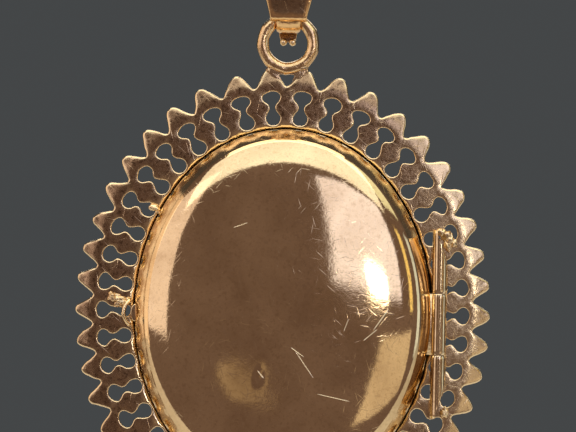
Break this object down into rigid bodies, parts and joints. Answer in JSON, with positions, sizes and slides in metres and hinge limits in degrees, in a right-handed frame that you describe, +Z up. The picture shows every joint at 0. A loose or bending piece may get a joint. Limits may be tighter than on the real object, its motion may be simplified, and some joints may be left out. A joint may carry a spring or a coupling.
{
  "type": "locket pendant",
  "caption": "Oval locket pendant with a pierced, toothed border, a hinged back cover over a glazed picture compartment, and a folded bail on a ring.",
  "frame": {"origin": "centre of the bail's eye, where the chain passes", "axes": "+Z up, with the pendant hanging down -Z; -Y is the back with the hinged cover, +Y the front that faces out when worn; +X is the hinge's side, and the chain passes along X"},
  "size_m": [0.0412, 0.0084, 0.0638],
  "materials": {
    "cover_gold": "polished, finely scratched",
    "border_gold": "dull, brownish patina, bright worn edges",
    "trim_gold": "worn satin",
    "hinge_gold": "polished, worn",
    "pin_gold": "drawn wire",
    "solder_gold": "bright solder",
    "case_gold": "satin",
    "backing_cloth": "silk",
    "picture_card": "matt, blank",
    "picture_glass": "clear"
  },
  "bodies": {
    "bail": {"bail_strip": "trim_gold", "bail_drop": "trim_gold", "bail_drop_beads": "trim_gold"},
    "locket": {"border_frame": "border_gold", "suspension_ring": "trim_gold", "ring_solder": "solder_gold", "case_wall": "case_gold", "compartment_floor": "case_gold", "picture_backing": "backing_cloth", "picture_card": "picture_card", "picture_glass": "picture_glass", "glass_rim": "case_gold", "front_shell": "cover_gold", "front_twist_wire": "trim_gold", "hinge_knuckle_upper": "hinge_gold", "hinge_knuckle_lower": "hinge_gold", "hinge_pin": "pin_gold", "hinge_feet": "solder_gold", "thumb_guard": "trim_gold", "guard_solder": "solder_gold", "safety_eyelet": "solder_gold"},
    "cover": {"back_cover": "cover_gold", "cover_snap_rim": "case_gold", "hinge_knuckle_middle": "hinge_gold", "hinge_leaf": "solder_gold", "finger_tab": "trim_gold"}
  },
  "joints": [
    {"name": "locket_swing", "type": "hinge", "parent": "bail", "child": "locket", "pos_m": [0, 0, -0.0072], "axis": [1, 0, 0], "range_deg": [-45, 45]},
    {"name": "cover_hinge", "type": "hinge", "parent": "locket", "child": "cover", "pos_m": [0.0154, -0.0012, -0.03728], "axis": [0, 0, 1], "range_deg": [0, 140]}
  ]
}
